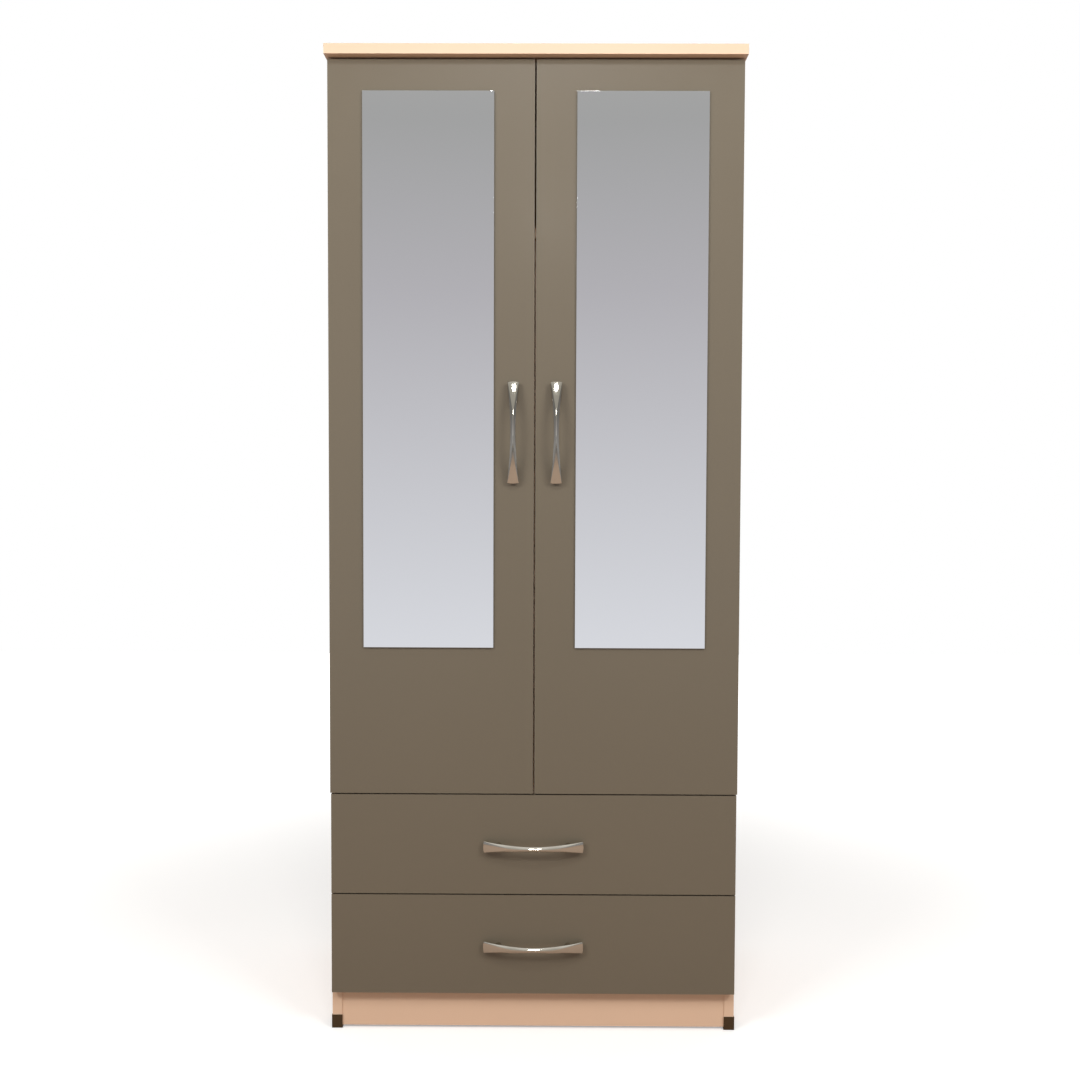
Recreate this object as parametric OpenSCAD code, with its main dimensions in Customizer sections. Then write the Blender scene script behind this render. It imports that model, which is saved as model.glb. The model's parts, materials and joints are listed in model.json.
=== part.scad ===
// Two-door armoire with mirrors on the doors and two drawers below.
// The origin is on the floor, under the middle of the whole object. +Z is up, the doors face -Y.
// Near a side panel, u runs inwards from its outer face and v runs forwards from the carcass front.

/* [Overall] */
// Height from the floor to the top face
overall_h = 1800; // [1500:10:2200]
// Width over the two side panels
carcass_w = 750; // [620:10:1000]
// Depth from the front edges of the side panels to the back
carcass_d = 450; // [375:5:600]

/* [Boards] */
// Thickness of the carcass boards, the doors and the drawer fronts
board_t = 18; // [15:0.1:22]
// Thickness of the back panel and of the drawer bottoms
thin_t = 3; // [2.5:0.1:4]
// Overhang of the top panel past each side panel
top_side_over = 3; // [1:0.5:20]
// Overhang of the top panel past the door faces
top_front_over = 20; // [5:1:26]
// Height of the underside of the base panel, which is the top of the plinth
base_z = 77; // [60:1:120]
// Distance from the plinth to the front edges of the side panels
plinth_recess = 2; // [0:0.5:40]
// Gap under the plinth board
plinth_lift = 5; // [3:0.5:12]
// Clear height between the hat shelf and the top panel
hat_clear = 300; // [220:10:400]
// Distance from the shelf fronts to the carcass front
shelf_recess = 20; // [10:1:60]
// Distance from the partition's front edge to the carcass front
partition_recess = 16; // [0:1:40]
// Gap at each end of an adjustable shelf
shelf_gap = 2; // [1.8:0.1:4]

/* [Doors and drawer fronts] */
// Gap between the carcass front and the backs of doors and drawer fronts
door_standoff = 2; // [1.5:0.1:4]
// Gap between the two doors
door_gap = 3; // [2:0.5:6]
// Gap between the door tops and the top panel
door_top_gap = 3.5; // [2:0.5:8]
// Distance from the outer edge of a door to the outer face of the carcass
door_edge_in = 0.5; // [0:0.1:3]
// Distance from the end of a drawer front to the outer face of the carcass
front_edge_in = 2; // [0:0.1:4]
// Height of each drawer front
drawer_front_h = 184.5; // [160:0.5:230]
// Gap between drawer fronts, and between the upper one and the doors
front_gap = 2.5; // [2:0.5:5]
// How far the lower drawer front hangs below the base panel
front_drop = 2; // [0:0.5:10]

/* [Mirrors] */
// Thickness of the mirror glass
mirror_t = 4; // [3:0.5:6]
// Width of door left outside the mirror
mirror_outer_stile = 63; // [30:0.5:90]
// Width of door left between the mirror and the door gap
mirror_inner_stile = 73; // [60:0.5:100]
// Height of door left above the mirror
mirror_top_rail = 56.5; // [30:0.5:120]
// Height of door left below the mirror
mirror_bottom_rail = 270; // [100:1:400]

/* [Bow handles] */
// Overall length of a handle
handle_len = 184; // [153:1:230]
// Distance between the two screws of a handle
handle_cc = 128; // [96:32:160]
// Width of a handle at its ends
handle_end_w = 21; // [16:0.5:28]
// Width of a handle at its middle
handle_waist_w = 9; // [8:0.5:16]
// How far the middle of a handle stands off the face
handle_stand = 30; // [26:0.5:40]
// How far the ends of a handle stand off the face
handle_end_stand = 11; // [8:0.5:16]
// Thickness of the handle bow
handle_t = 5; // [4:0.5:8]
// Diameter of a handle post
post_d = 12; // [8:0.5:14]
// Distance from a door handle to the door's meeting edge
door_handle_inset = 37.5; // [30:0.5:60]
// Height of a door handle above the bottom edge of the door
door_handle_rise = 662; // [300:1:800]
// How far a drawer handle sits below the middle of its front
drawer_handle_drop = 2; // [0:0.5:20]

/* [Drawers] */
// Thickness of the drawer sides and backs
box_t = 12; // [10:0.1:16]
// Gap between the upper drawer's sides and the deck panel
box_head_gap = 11.75; // [8:0.25:40]
// Space left behind a closed drawer
drawer_rear_gap = 48; // [40:1:80]
// Gap at each side of the drawer box for the runners
runner_gap = 12.5; // [12.5:0.1:14]
// Height of the lower runner above the base panel
runner_rise = 15; // [5:1:30]
// Radius of a runner's roller
roller_r = 12; // [10:0.5:13]
// Sheet thickness of the runners
runner_t = 1.2; // [1:0.1:1.5]

/* [Hinges] */
// Diameter of a hinge cup's bore
cup_d = 35; // [35:1:35]
// Depth of a hinge cup's bore
cup_depth = 11.5; // [10:0.5:12]
// Distance from a door's top or bottom edge to the nearest hinge
hinge_end = 100; // [70:5:160]
// Radius of the hinge pins
hinge_pin_r = 1.25; // [1.25:0.05:1.5]

/* [Small pieces] */
// Thickness of a foot cap under the side panel
foot_t = 3; // [2:0.5:6]
// Height of a foot cap
foot_h = 25; // [15:1:40]
// Length of a foot cap along the side panel
foot_len = 40; // [20:1:60]
// Height of the oval hanging rail
rail_h = 30; // [24:1:36]
// Thickness of the oval hanging rail
rail_w = 15; // [12:1:20]
// Distance from the hat shelf down to the middle of the hanging rail
rail_drop = 50; // [40:1:90]
// Radial clearance of a turning fit
run_clear = 0.05; // [0.02:0.01:0.09]

/* [Hidden] */
$fn = 48;
LEFT = -1;
RIGHT = 1;
SIDES = [LEFT, RIGHT];

cream = [0.95, 0.87, 0.79];
taupe = [0.50, 0.46, 0.41];
hardboard = [0.80, 0.72, 0.62];
glass_grey = [0.75, 0.76, 0.78];
chrome = [0.85, 0.85, 0.86];
zinc = [0.72, 0.73, 0.75];
epoxy = [0.93, 0.93, 0.90];
nylon = [0.88, 0.88, 0.86];
dark_brown = [0.20, 0.15, 0.11];
beech = [0.78, 0.60, 0.40];

// Main planes
half_w = carcass_w / 2;
inner_x = half_w - board_t;
nail_head_t = 0.6;
front_y = -(carcass_d - door_standoff - board_t - handle_stand) / 2;
back_out = front_y + carcass_d;
back_face = back_out - nail_head_t - thin_t;
door_back = front_y - door_standoff;
face_y = door_back - board_t;
side_top = overall_h - board_t;
hat_z = side_top - hat_clear - board_t;
fronts_z = base_z - front_drop;
front_pitch = drawer_front_h + front_gap;
door_z = fronts_z + 2 * front_pitch;
door_top = side_top - door_top_gap;
deck_z = door_z - front_gap / 2 - board_t / 2;
deck_top = deck_z + board_t;
base_top = base_z + board_t;
part_x = board_t / 2;

// Hinge heights, and shelf heights on the same 32 mm row of holes
hole_step = 32;
hinge_zs = [door_z + hinge_end, (door_z + door_top) / 2, door_top - hinge_end];
shelf_bay_h = hat_z - deck_top;
row_z = hinge_zs[1] + hole_step / 2;
function on_row(z) = row_z + hole_step * round((z - row_z) / hole_step);
function pin_z(i) = on_row(deck_top + shelf_bay_h * i / 4);
pin_r = 2.5;
pin_in = 8;
pin_out = 8;
pin_collar_r = 4;
pin_collar_t = 1.5;
pin_hole_clear = 0.05;
pin_ys = [front_y + 57, back_face - 60];

// Connecting fittings of the carcass
cam_r = 7.4;
cam_cover = 5.5;
cam_h = board_t - cam_cover;
cam_clear = 0.1;
cam_inset = 34;
bolt_r = 3;
bolt_clear = 0.25;
bolt_bite = 11;
cam_ys = [front_y + 50, back_face - 60];
dowel_r = 4;
dowel_in_shelf = 12;
dowel_in_part = 18;
dowel_ys = [front_y + 90, back_face - 100];
nail_r = 0.8;
nail_head_r = 1.8;
nail_len = 16;
back_z = base_z - 10;
back_top = side_top;
side_nail_count = 8;
shelf_nail_count = 3;
nail_edge = 40;
block_size = 16;
block_len = 30;
block_xs = [-0.7 * inner_x, 0, 0.7 * inner_x];
screw_r = 1.75;
screw_head_r = 3.4;
screw_head_t = 1.6;
screw_bite = 12;

// Hinge: an arm on the side panel, a hooked link, and a cup in the door
cup_u = board_t + 5;
cup_wall = 0.8;
cup_clear = 0.1;
cup_r = cup_d / 2 - cup_clear;
flange_t = 1;
flange_r = 19;
ear_z = 24;
ear_r = 5.5;
arm_pivot = [board_t + 17, -4.5];
cup_pivot = [board_t - 7.3, 5.5];
link_bends = [[board_t - 2.5, 9.3], [board_t + 11, 4.1]];
link_t = 2.5;
link_w = 12;
link_eye_r = 2.4;
cheek_gap = 0.3;
cheek_t = 2;
arm_eye_r = 3.4;
arm_high = 10;
arm_rear = -62;
plate_t = 2;
plate_v = -37;
plate_front = -20;
lug_half_u = 2.3;
function near_x(s, u) = s * (half_w - u);
function near_y(v) = front_y - v;
function flat(s, points) = [for (p = points) [near_x(s, p.x), near_y(p.y)]];
function strip(a, b, w) = let (d = b - a, n = [-d.y, d.x] / norm(d) * w / 2) [a + n, b + n, b - n, a - n];

// Runners: w is measured from the inner face of the side panel towards the drawer
box_len = carcass_d - drawer_rear_gap;
box_rear = door_back + box_len;
box_outer_x = inner_x - runner_gap;
box_inner_x = box_outer_x - box_t;
runner_w = 9;
roller_gap = 0.3;
channel_h = 2 * runner_t + 2 * roller_r + 2 * roller_gap;
track_z = channel_h + 2;
front_axle_z = track_z - roller_gap - roller_r;
rear_axle_z = runner_t + roller_gap + roller_r;
front_axle_y = front_y + 16;
rear_axle_y = box_rear - 24;
axle_r = 2;
roller_ws = [2.8, 8.6];
slide_w = runner_gap - runner_t;
slide_up = 20;
box_rise = 10;
lower_runner_z = base_top + runner_rise;
upper_runner_z = lower_runner_z + front_pitch;
box_h = deck_z - box_head_gap - upper_runner_z - box_rise;
bottom_rise = 8;
groove_deep = 6;
groove_clear = 0.2;
small_cam_r = 6;
small_cam_h = box_t - 2;
small_cam_inset = 24;
small_bolt_r = 2.5;
small_bolt_bite = 10;
box_joint_zs = [35, box_h - 25];
back_screw_zs = [30, box_h - 25];
back_screw_bite = 23;
handle_screw_r = 2;
handle_screw_head_r = 4;
handle_screw_head_t = 2.4;
handle_screw_bite = 11;

module block(lo, hi) {
    translate(lo) cube(hi - lo);
}

module rod_x(x0, x1, y, z, r) {
    translate([min(x0, x1), y, z]) rotate([0, 90, 0]) cylinder(r = r, h = abs(x1 - x0));
}

module rod_y(x, y0, y1, z, r) {
    translate([x, min(y0, y1), z]) rotate([-90, 0, 0]) cylinder(r = r, h = abs(y1 - y0));
}

module rod_z(x, y, z0, z1, r) {
    translate([x, y, min(z0, z1)]) cylinder(r = r, h = abs(z1 - z0));
}

// Cam fittings between a side panel and the ends of one level panel
module level_bolts(s, z, clear = 0) {
    for (y = cam_ys) {
        rod_x(s * (inner_x + bolt_bite), s * (inner_x - cam_inset - 2), y, z + board_t / 2,
            bolt_r + clear);
    }
}

module level_cams(s, z, clear = 0) {
    for (y = cam_ys) {
        rod_z(s * (inner_x - cam_inset), y, z, z + cam_h + clear, cam_r + clear);
    }
}

// Cam fittings between a side panel and the top panel
module top_bolts(s, clear = 0) {
    for (y = cam_ys) {
        rod_z(s * (half_w - board_t / 2), y, side_top - cam_inset - 2, side_top + bolt_bite,
            bolt_r + clear);
    }
}

module top_cams(s, clear = 0) {
    for (y = cam_ys) {
        rod_x(s * inner_x, s * (inner_x + cam_h + clear), y, side_top - cam_inset, cam_r + clear);
    }
}

module partition_dowels() {
    for (y = dowel_ys) {
        rod_z(0, y, deck_top - dowel_in_shelf, deck_top + dowel_in_part, dowel_r);
        rod_z(0, y, hat_z - dowel_in_part, hat_z + dowel_in_shelf, dowel_r);
    }
}

module nail(x, z) {
    rod_y(x, back_face + thin_t - nail_len, back_face + thin_t, z, nail_r);
    rod_y(x, back_face + thin_t, back_out, z, nail_head_r);
}

module side_nails(s) {
    step = (back_top - back_z - 2 * nail_edge) / (side_nail_count - 1);
    for (i = [0:side_nail_count - 1]) nail(s * (half_w - board_t / 2), back_z + nail_edge + i * step);
}

module level_nails(z) {
    for (i = [0:shelf_nail_count - 1]) nail(inner_x * (i - 1) / 2, z + board_t / 2);
}

// Holes for the shelf pins in the face at x, going into the board
module pin_holes(x, into) {
    for (i = [1:3], k = [-1:1], y = pin_ys) {
        rod_x(x, x + into * (pin_in + 1), y, pin_z(i) + k * hole_step, pin_r + pin_hole_clear);
    }
}

module plate_screws(s) {
    for (hinge_z = hinge_zs, k = [-1, 1]) {
        z = hinge_z + k * hole_step / 2;
        rod_x(s * (inner_x + screw_bite), s * (inner_x - plate_t), near_y(plate_v), z, screw_r);
        rod_x(s * (inner_x - plate_t), s * (inner_x - plate_t - screw_head_t), near_y(plate_v), z,
            screw_head_r);
    }
}

module arm_screws(s) {
    for (z = hinge_zs) {
        rod_x(s * (inner_x - plate_t - arm_high - screw_head_t), s * (inner_x - plate_t - arm_high),
            near_y(plate_v), z, screw_head_r);
        rod_x(s * (inner_x - plate_t - arm_high), s * (inner_x - plate_t), near_y(plate_v), z, screw_r);
    }
}

runner_screw_ys = [front_y + 37, front_y + 37 + 5 * hole_step, box_rear - 40];
runner_head_t = 0.8;

module runner_screws(s, z) {
    neck_x = inner_x - runner_t + runner_head_t;
    for (y = runner_screw_ys) {
        rod_x(s * (inner_x + screw_bite), s * neck_x, y, z + rear_axle_z, screw_r);
        rod_x(s * neck_x, s * (inner_x - runner_t), y, z + rear_axle_z, screw_head_r);
    }
}

rail_y = front_y + carcass_d / 2;
rail_z = hat_z - rail_drop;
socket_t = 2.5;
socket_deep = 12;
socket_screw_z = 22;

// One socket's screws, in the face at x, going into the board
module socket_screws(x, into) {
    for (k = [-1, 1]) {
        rod_x(x + into * screw_bite, x - into * socket_t, rail_y, rail_z + k * socket_screw_z, screw_r);
        rod_x(x - into * socket_t, x - into * (socket_t + screw_head_t), rail_y,
            rail_z + k * socket_screw_z, screw_head_r);
    }
}

module block_screws() {
    y0 = front_y + plinth_recess + board_t;
    y1 = y0 + block_size;
    z0 = base_z - block_size;
    for (x = block_xs) {
        rod_y(x - block_len / 4, y0 - screw_bite, y1, z0 + block_size / 2, screw_r);
        rod_y(x - block_len / 4, y1, y1 + screw_head_t, z0 + block_size / 2, screw_head_r);
        rod_z(x + block_len / 4, (y0 + y1) / 2, z0, base_z + screw_bite, screw_r);
        rod_z(x + block_len / 4, (y0 + y1) / 2, z0 - screw_head_t, z0, screw_head_r);
    }
}

// Carcass
module side_panel(s) {
    x0 = s * inner_x;
    x1 = s * half_w;
    color(cream) difference() {
        block([min(x0, x1), front_y, foot_t], [max(x0, x1), back_face, side_top]);
        for (z = [base_z, deck_z, hat_z]) level_bolts(s, z);
        top_bolts(s, bolt_clear);
        top_cams(s, cam_clear);
        side_nails(s);
        plate_screws(s);
        for (z = [lower_runner_z, upper_runner_z]) runner_screws(s, z);
        if (s == RIGHT) pin_holes(inner_x, 1);
        if (s == LEFT) socket_screws(-inner_x, -1);
    }
}

module top_panel() {
    over = half_w + top_side_over;
    color(cream) difference() {
        block([-over, face_y - top_front_over, side_top], [over, back_out, overall_h]);
        for (s = SIDES) top_bolts(s);
    }
}

module level_panel(z) {
    color(cream) difference() {
        block([-inner_x, front_y, z], [inner_x, back_face, z + board_t]);
        for (s = SIDES) {
            level_bolts(s, z, bolt_clear);
            level_cams(s, z, cam_clear);
        }
        level_nails(z);
        partition_dowels();
        if (z == base_z) block_screws();
    }
}

module centre_partition() {
    color(cream) difference() {
        block([-part_x, front_y + partition_recess, deck_top], [part_x, back_face, hat_z]);
        partition_dowels();
        pin_holes(part_x, -1);
        socket_screws(-part_x, 1);
    }
}

module plinth_board() {
    y = front_y + plinth_recess;
    color(cream) difference() {
        block([-inner_x, y, plinth_lift], [inner_x, y + board_t, base_z]);
        block_screws();
    }
}

module back_panel() {
    over = half_w - 1;
    color(hardboard) difference() {
        block([-over, back_face, back_z], [over, back_face + thin_t, back_top]);
        for (s = SIDES) side_nails(s);
        for (z = [base_z, deck_z, hat_z]) level_nails(z);
    }
}

module loose_shelf(i) {
    z = pin_z(i) + pin_r;
    color(cream) block([part_x + shelf_gap, front_y + shelf_recess, z],
        [inner_x - shelf_gap, back_face - 1, z + board_t]);
}

module shelf_pin(x, into, y, z) {
    color(zinc) {
        rod_x(x + into * pin_in, x - into * pin_out, y, z, pin_r);
        rod_x(x, x - into * pin_collar_t, y, z, pin_collar_r);
    }
}

module shelf_pins() {
    for (i = [1:3], y = pin_ys) {
        shelf_pin(inner_x, 1, y, pin_z(i));
        shelf_pin(part_x, -1, y, pin_z(i));
    }
}

// Outline with round ends in the YZ plane, drawn flat
module oval(h, w) {
    square([h - w, w], center = true);
    for (k = [-1, 1]) translate([k * (h - w) / 2, 0]) circle(d = w);
}

// Oval bar along +X from x0 to x1
module oval_bar(x0, x1, h, w) {
    translate([x0, rail_y, rail_z]) rotate([0, 90, 0]) linear_extrude(x1 - x0) oval(h, w);
}

module hanging_rail() {
    color(chrome) difference() {
        oval_bar(-inner_x + socket_t, -part_x - socket_t, rail_h, rail_w);
        oval_bar(-inner_x, -part_x, rail_h - 2, rail_w - 2);
    }
}

// Socket on the face at x; the rail leaves it towards away
module rail_socket(x, away) {
    flange_h = 2 * socket_screw_z + 12;
    x1 = x + away * socket_t;
    x2 = x + away * socket_deep;
    color(chrome) difference() {
        union() {
            oval_bar(min(x, x1), max(x, x1), flange_h, rail_w + 7);
            oval_bar(min(x, x2), max(x, x2), rail_h + 3, rail_w + 3);
        }
        oval_bar(min(x1, x2 + away), max(x1, x2 + away), rail_h + 0.2, rail_w + 0.2);
        socket_screws(x, -away);
    }
}

module rail_sockets() {
    rail_socket(-inner_x, 1);
    rail_socket(-part_x, -1);
}

// Plastic shoe round the bottom corner of a side panel, at its front or rear edge
module foot_cap(s, edge_y, inward) {
    wall = 1.2;
    x0 = s * (half_w + wall);
    x1 = s * (inner_x - 0.8);
    y0 = edge_y - inward * wall;
    y1 = edge_y + inward * foot_len;
    color(dark_brown) {
        block([min(x0, x1), min(y0, y1), 0], [max(x0, x1), max(y0, y1), foot_t]);
        block([min(x0, x1), min(y0, edge_y), foot_t], [max(x0, x1), max(y0, edge_y), foot_h]);
        block([min(x0, s * half_w), min(y0, y1), foot_t], [max(x0, s * half_w), max(y0, y1), foot_h]);
    }
}

module foot_caps(edge_y, inward) {
    for (s = SIDES) foot_cap(s, edge_y, inward);
}

module cam_slot(size, deep) {
    for (a = [0, 90]) rotate(a) cube([size, 1.6, 2 * deep], center = true);
}

module cam_locks() {
    color(zinc) for (s = SIDES) {
        for (z = [base_z, deck_z, hat_z]) difference() {
            level_cams(s, z);
            for (y = cam_ys) {
                rod_x(s * (inner_x - cam_inset - 4), s * inner_x, y, z + board_t / 2,
                    bolt_r + bolt_clear);
                translate([s * (inner_x - cam_inset), y, z]) cam_slot(8, 2);
            }
        }
        difference() {
            top_cams(s);
            for (y = cam_ys) {
                rod_z(s * (half_w - board_t / 2), y, side_top - cam_inset - 4, side_top,
                    bolt_r + bolt_clear);
                translate([s * inner_x, y, side_top - cam_inset]) rotate([0, 90, 0]) cam_slot(8, 2);
            }
        }
    }
}

module cam_bolts() {
    color(zinc) for (s = SIDES) {
        for (z = [base_z, deck_z, hat_z]) level_bolts(s, z);
        top_bolts(s);
    }
}

module dowels() {
    color(beech) partition_dowels();
}

module back_nails() {
    color(zinc) {
        for (s = SIDES) side_nails(s);
        for (z = [base_z, deck_z, hat_z]) level_nails(z);
    }
}

module plinth_blocks() {
    y = front_y + plinth_recess + board_t;
    color(nylon) difference() {
        for (x = block_xs) {
            block([x - block_len / 2, y, base_z - block_size], [x + block_len / 2, y + block_size, base_z]);
        }
        block_screws();
    }
}

module carcass_screws() {
    color(zinc) {
        for (s = SIDES) {
            plate_screws(s);
            arm_screws(s);
            for (z = [lower_runner_z, upper_runner_z]) runner_screws(s, z);
        }
        socket_screws(-inner_x, -1);
        socket_screws(-part_x, 1);
        block_screws();
    }
}

// Hinges
module hinge_plate(s) {
    x0 = min(s * inner_x, s * (inner_x - plate_t));
    y = near_y(plate_v);
    for (z = hinge_zs) {
        block([x0, y - 8, z - 21], [x0 + plate_t, y + 8, z + 21]);
        block([x0, near_y(plate_front), z - 6], [x0 + plate_t, near_y(arm_rear), z + 6]);
    }
}

module hinge_plates() {
    color(zinc) for (s = SIDES) difference() {
        hinge_plate(s);
        plate_screws(s);
    }
}

module pin_bore(s, pivot, z, r, length) {
    translate([near_x(s, pivot.x), near_y(pivot.y), z]) cylinder(r = r, h = length, center = true);
}

// Pressed arm: two cheeks and a bridge, with the riveted pin at its front end
module hinge_arms(s) {
    u0 = board_t + plate_t;
    u1 = u0 + arm_high;
    half_in = link_w / 2 + cheek_gap;
    half_out = half_in + cheek_t;
    p = arm_pivot;
    color(zinc) for (z = hinge_zs) {
        difference() {
            union() {
                for (k = [-1, 1]) translate([0, 0, z + k * (half_in + half_out) / 2]) {
                    linear_extrude(cheek_t, center = true) {
                        polygon(flat(s, [[u0, arm_rear], [u1, arm_rear], [u1, p.y - 11],
                            [p.x + arm_eye_r * cos(30), p.y - arm_eye_r * sin(30)],
                            [p.x - arm_eye_r * sin(30), p.y + arm_eye_r * cos(30)], [u0, p.y - 6]]));
                        translate([near_x(s, p.x), near_y(p.y)]) circle(r = arm_eye_r);
                    }
                }
                block([min(near_x(s, u1 - 1.5), near_x(s, u1)), near_y(p.y - 12), z - half_in],
                    [max(near_x(s, u1 - 1.5), near_x(s, u1)), near_y(arm_rear), z + half_in]);
            }
            pin_bore(s, p, z, hinge_pin_r, 2 * half_out + 1);
            arm_screws(s);
        }
        pin_bore(s, p, z, hinge_pin_r, 2 * half_out);
    }
}

module hinge_links(s) {
    points = concat([cup_pivot], link_bends, [arm_pivot]);
    color(zinc) for (z = hinge_zs) translate([0, 0, z]) difference() {
        linear_extrude(link_w, center = true) {
            for (i = [0:2]) polygon(flat(s, strip(points[i], points[i + 1], link_t)));
            for (p = link_bends) translate([near_x(s, p.x), near_y(p.y)]) circle(d = link_t);
            for (p = [cup_pivot, arm_pivot]) {
                translate([near_x(s, p.x), near_y(p.y)]) circle(r = link_eye_r);
            }
        }
        for (p = [cup_pivot, arm_pivot]) pin_bore(s, p, 0, hinge_pin_r + run_clear, link_w + 1);
    }
}

module cup_screws(s) {
    x = near_x(s, cup_u);
    for (z = hinge_zs, k = [-1, 1]) {
        rod_y(x, door_back - screw_bite, door_back + flange_t, z + k * ear_z, screw_r);
        rod_y(x, door_back + flange_t, door_back + flange_t + screw_head_t / 2, z + k * ear_z,
            screw_head_r);
    }
}

// Cup with its flange and ears, two lugs inside it, and the riveted pin
module hinge_cups(s) {
    x = near_x(s, cup_u);
    cup_floor = door_back - cup_depth + cup_clear;
    half_in = link_w / 2 + cheek_gap;
    color(zinc) for (z = hinge_zs) {
        difference() {
            union() {
                difference() {
                    union() {
                        rod_y(x, cup_floor, door_back, z, cup_r);
                        rod_y(x, door_back, door_back + flange_t, z, flange_r);
                        for (k = [-1, 1]) {
                            rod_y(x, door_back, door_back + flange_t, z + k * ear_z, ear_r);
                        }
                        block([x - ear_r, door_back, z - ear_z],
                            [x + ear_r, door_back + flange_t, z + ear_z]);
                    }
                    rod_y(x, cup_floor + cup_wall, door_back + 2 * flange_t, z, cup_r - cup_wall);
                }
                for (k = [-1, 1]) intersection() {
                    rod_y(x, cup_floor, door_back, z, cup_r);
                    translate([near_x(s, cup_pivot.x), (cup_floor + near_y(cup_pivot.y) + lug_half_u) / 2,
                        z + k * (half_in + 1)])
                        cube([2 * lug_half_u, near_y(cup_pivot.y) + lug_half_u - cup_floor, 2],
                            center = true);
                }
            }
            pin_bore(s, cup_pivot, z, hinge_pin_r, 2 * half_in + 4);
            cup_screws(s);
        }
        pin_bore(s, cup_pivot, z, hinge_pin_r, 2 * half_in + 4);
    }
}

// Handles: the bow is an arc in plan and narrows at its waist. It is drawn along X,
// with the face that carries it at y = 0, and stands towards -Y.
function bow_radius(half, rise) = (half * half + rise * rise) / (2 * rise);
bow_r = bow_radius(handle_len / 2, handle_stand - handle_end_stand);
waist_rise = (handle_end_w - handle_waist_w) / 2;
waist_r = bow_radius(handle_len / 2, waist_rise);
function bow_y(x) = -handle_stand + bow_r - sqrt(bow_r * bow_r - x * x);

function waist_z(x) = handle_waist_w / 2 + waist_r - sqrt(waist_r * waist_r - x * x);
waist_steps = 24;

module bow() {
    xs = [for (i = [0:waist_steps]) handle_len * (i / waist_steps - 0.5)];
    upper_edge = [for (x = xs) [x, waist_z(x)]];
    lower_edge = [for (i = [0:waist_steps]) [-xs[i], -waist_z(xs[i])]];
    intersection() {
        translate([0, bow_r - handle_stand, 0]) difference() {
            cylinder(r = bow_r, h = 2 * handle_end_w, center = true);
            cylinder(r = bow_r - handle_t, h = 3 * handle_end_w, center = true);
        }
        rotate([90, 0, 0]) linear_extrude(handle_stand + handle_t) polygon(concat(upper_edge, lower_edge));
    }
}

module handle_screw_holes(r) {
    for (k = [-1, 1]) rod_y(k * handle_cc / 2, -handle_screw_bite, 1, 0, r);
}

module bow_handle() {
    color(chrome) difference() {
        union() {
            bow();
            for (k = [-1, 1]) {
                rod_y(k * handle_cc / 2, bow_y(handle_cc / 2) + handle_t / 2, 0, 0, post_d / 2);
            }
        }
        handle_screw_holes(handle_screw_r);
    }
}

// Screws of one handle, through a board of the given thickness behind y = 0
module handle_screws() {
    for (k = [-1, 1]) {
        rod_y(k * handle_cc / 2, -handle_screw_bite, board_t, 0, handle_screw_r);
        rod_y(k * handle_cc / 2, board_t, board_t + handle_screw_head_t, 0, handle_screw_head_r);
    }
}

module handle_bores() {
    for (k = [-1, 1]) rod_y(k * handle_cc / 2, -1, board_t + 1, 0, handle_screw_r + bolt_clear);
}

module at_door_handle(s) {
    translate([s * (door_gap / 2 + door_handle_inset), face_y, door_z + door_handle_rise])
        rotate([0, 90, 0]) children();
}

// Doors
module door_panel(s) {
    x0 = s * door_gap / 2;
    x1 = s * (half_w - door_edge_in);
    color(taupe) difference() {
        block([min(x0, x1), face_y, door_z], [max(x0, x1), door_back, door_top]);
        for (z = hinge_zs) rod_y(near_x(s, cup_u), door_back - cup_depth, door_back + 1, z, cup_d / 2);
        cup_screws(s);
        at_door_handle(s) handle_bores();
    }
}

module mirror_glass(s) {
    x0 = s * (door_gap / 2 + mirror_inner_stile);
    x1 = s * (half_w - door_edge_in - mirror_outer_stile);
    color(glass_grey) block([min(x0, x1), face_y - mirror_t, door_z + mirror_bottom_rail],
        [max(x0, x1), face_y, door_top - mirror_top_rail]);
}

module door_screws(s) {
    color(zinc) {
        cup_screws(s);
        at_door_handle(s) handle_screws();
    }
}

// Drawers: z is the height of the bottom of the runner
function box_z(z) = z + box_rise;
function front_z(z) = z - lower_runner_z + fronts_z;

module at_drawer_handle(z) {
    translate([0, face_y, front_z(z) + drawer_front_h / 2 - drawer_handle_drop]) children();
}

module box_bolts(s, z) {
    x = s * (box_outer_x - box_t / 2);
    for (k = box_joint_zs) {
        rod_y(x, door_back - small_bolt_bite, door_back + small_cam_inset + 2, box_z(z) + k, small_bolt_r);
    }
}

module box_cams(s, z, clear = 0) {
    for (k = box_joint_zs) {
        rod_x(s * box_inner_x, s * (box_inner_x + small_cam_h + clear), door_back + small_cam_inset,
            box_z(z) + k, small_cam_r + clear);
    }
}

module box_back_screws(s, z) {
    neck_x = box_outer_x - screw_head_t;
    y = box_rear - box_t / 2;
    for (k = back_screw_zs) {
        rod_x(s * neck_x, s * (box_inner_x - back_screw_bite), y, box_z(z) + k, screw_r);
        rod_x(s * neck_x, s * box_outer_x, y, box_z(z) + k, screw_head_r);
    }
}

slide_screw_ys = [front_y + 50, front_y + 50 + 5 * hole_step, box_rear - 50];

module slide_screws(s, z) {
    screw_z = z + track_z + slide_up / 2;
    neck_x = box_outer_x + runner_t - runner_head_t;
    for (y = slide_screw_ys) {
        rod_x(s * (box_inner_x + 3), s * neck_x, y, screw_z, screw_r);
        rod_x(s * neck_x, s * (box_outer_x + runner_t), y, screw_z, screw_head_r);
    }
}

// Bottom panel of a drawer, let into grooves; a clearance makes the cutter for them
module bottom_sheet(z, clear = 0) {
    x = box_inner_x + groove_deep;
    z0 = box_z(z) + bottom_rise;
    block([-x, door_back - groove_deep, z0], [x, box_rear + clear, z0 + thin_t + clear]);
}

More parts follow.
